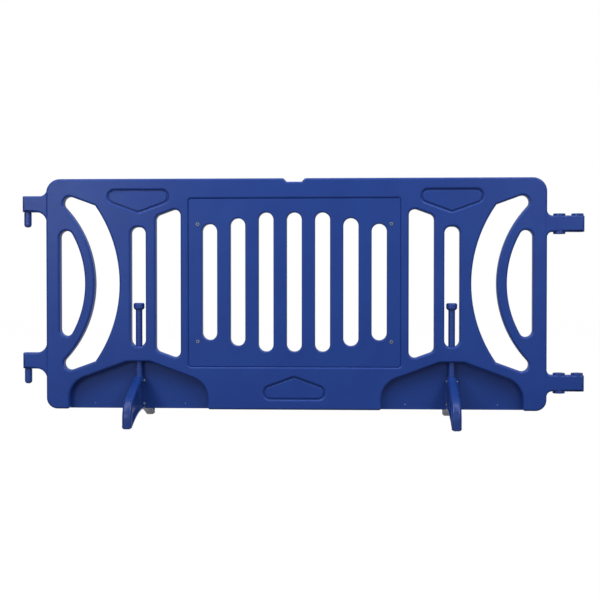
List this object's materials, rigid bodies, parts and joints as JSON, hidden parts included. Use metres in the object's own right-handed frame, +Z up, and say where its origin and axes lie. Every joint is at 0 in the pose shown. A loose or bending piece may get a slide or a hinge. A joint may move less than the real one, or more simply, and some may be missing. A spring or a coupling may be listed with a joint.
{
  "type": "pedestrian barrier panel",
  "caption": "Blue moulded plastic pedestrian barrier panel with slotted field, curved end windows, hook pins, socket eyes and arched drop-down feet.",
  "frame": {"origin": "on the ground below the middle of the overall length, arms included", "axes": "+X along the panel towards the socket arms, -Y towards the front face, +Z up"},
  "size_m": [2.243, 0.54, 0.976],
  "materials": {
    "panel_plastic": "satin moulded blue polyethylene",
    "foot_plastic": "satin moulded blue polyethylene",
    "fitting_plastic": "smooth moulded blue plastic",
    "steel": "zinc plated"
  },
  "bodies": {
    "barrier": {"panel": "panel_plastic", "sign_inserts": "steel", "upper_hook_pin": "fitting_plastic", "lower_hook_pin": "fitting_plastic", "upper_inner_top_bush": "fitting_plastic", "upper_inner_bottom_bush": "fitting_plastic", "upper_outer_bush": "fitting_plastic", "lower_inner_top_bush": "fitting_plastic", "lower_inner_bottom_bush": "fitting_plastic", "lower_outer_bush": "fitting_plastic"},
    "left_foot_set": {"left_foot": "foot_plastic", "left_post": "fitting_plastic", "left_post_cap": "fitting_plastic", "left_cap_screw": "steel", "left_hub_bolts": "steel", "left_hub_nuts": "steel"},
    "right_foot_set": {"right_foot": "foot_plastic", "right_post": "fitting_plastic", "right_post_cap": "fitting_plastic", "right_cap_screw": "steel", "right_hub_bolts": "steel", "right_hub_nuts": "steel"}
  },
  "joints": [
    {"name": "left_foot_drop", "type": "slide", "parent": "barrier", "child": "left_foot_set", "axis": [0, 0, 1], "range_m": [-0.14, 0]},
    {"name": "right_foot_drop", "type": "slide", "parent": "barrier", "child": "right_foot_set", "axis": [0, 0, 1], "range_m": [-0.14, 0]}
  ]
}
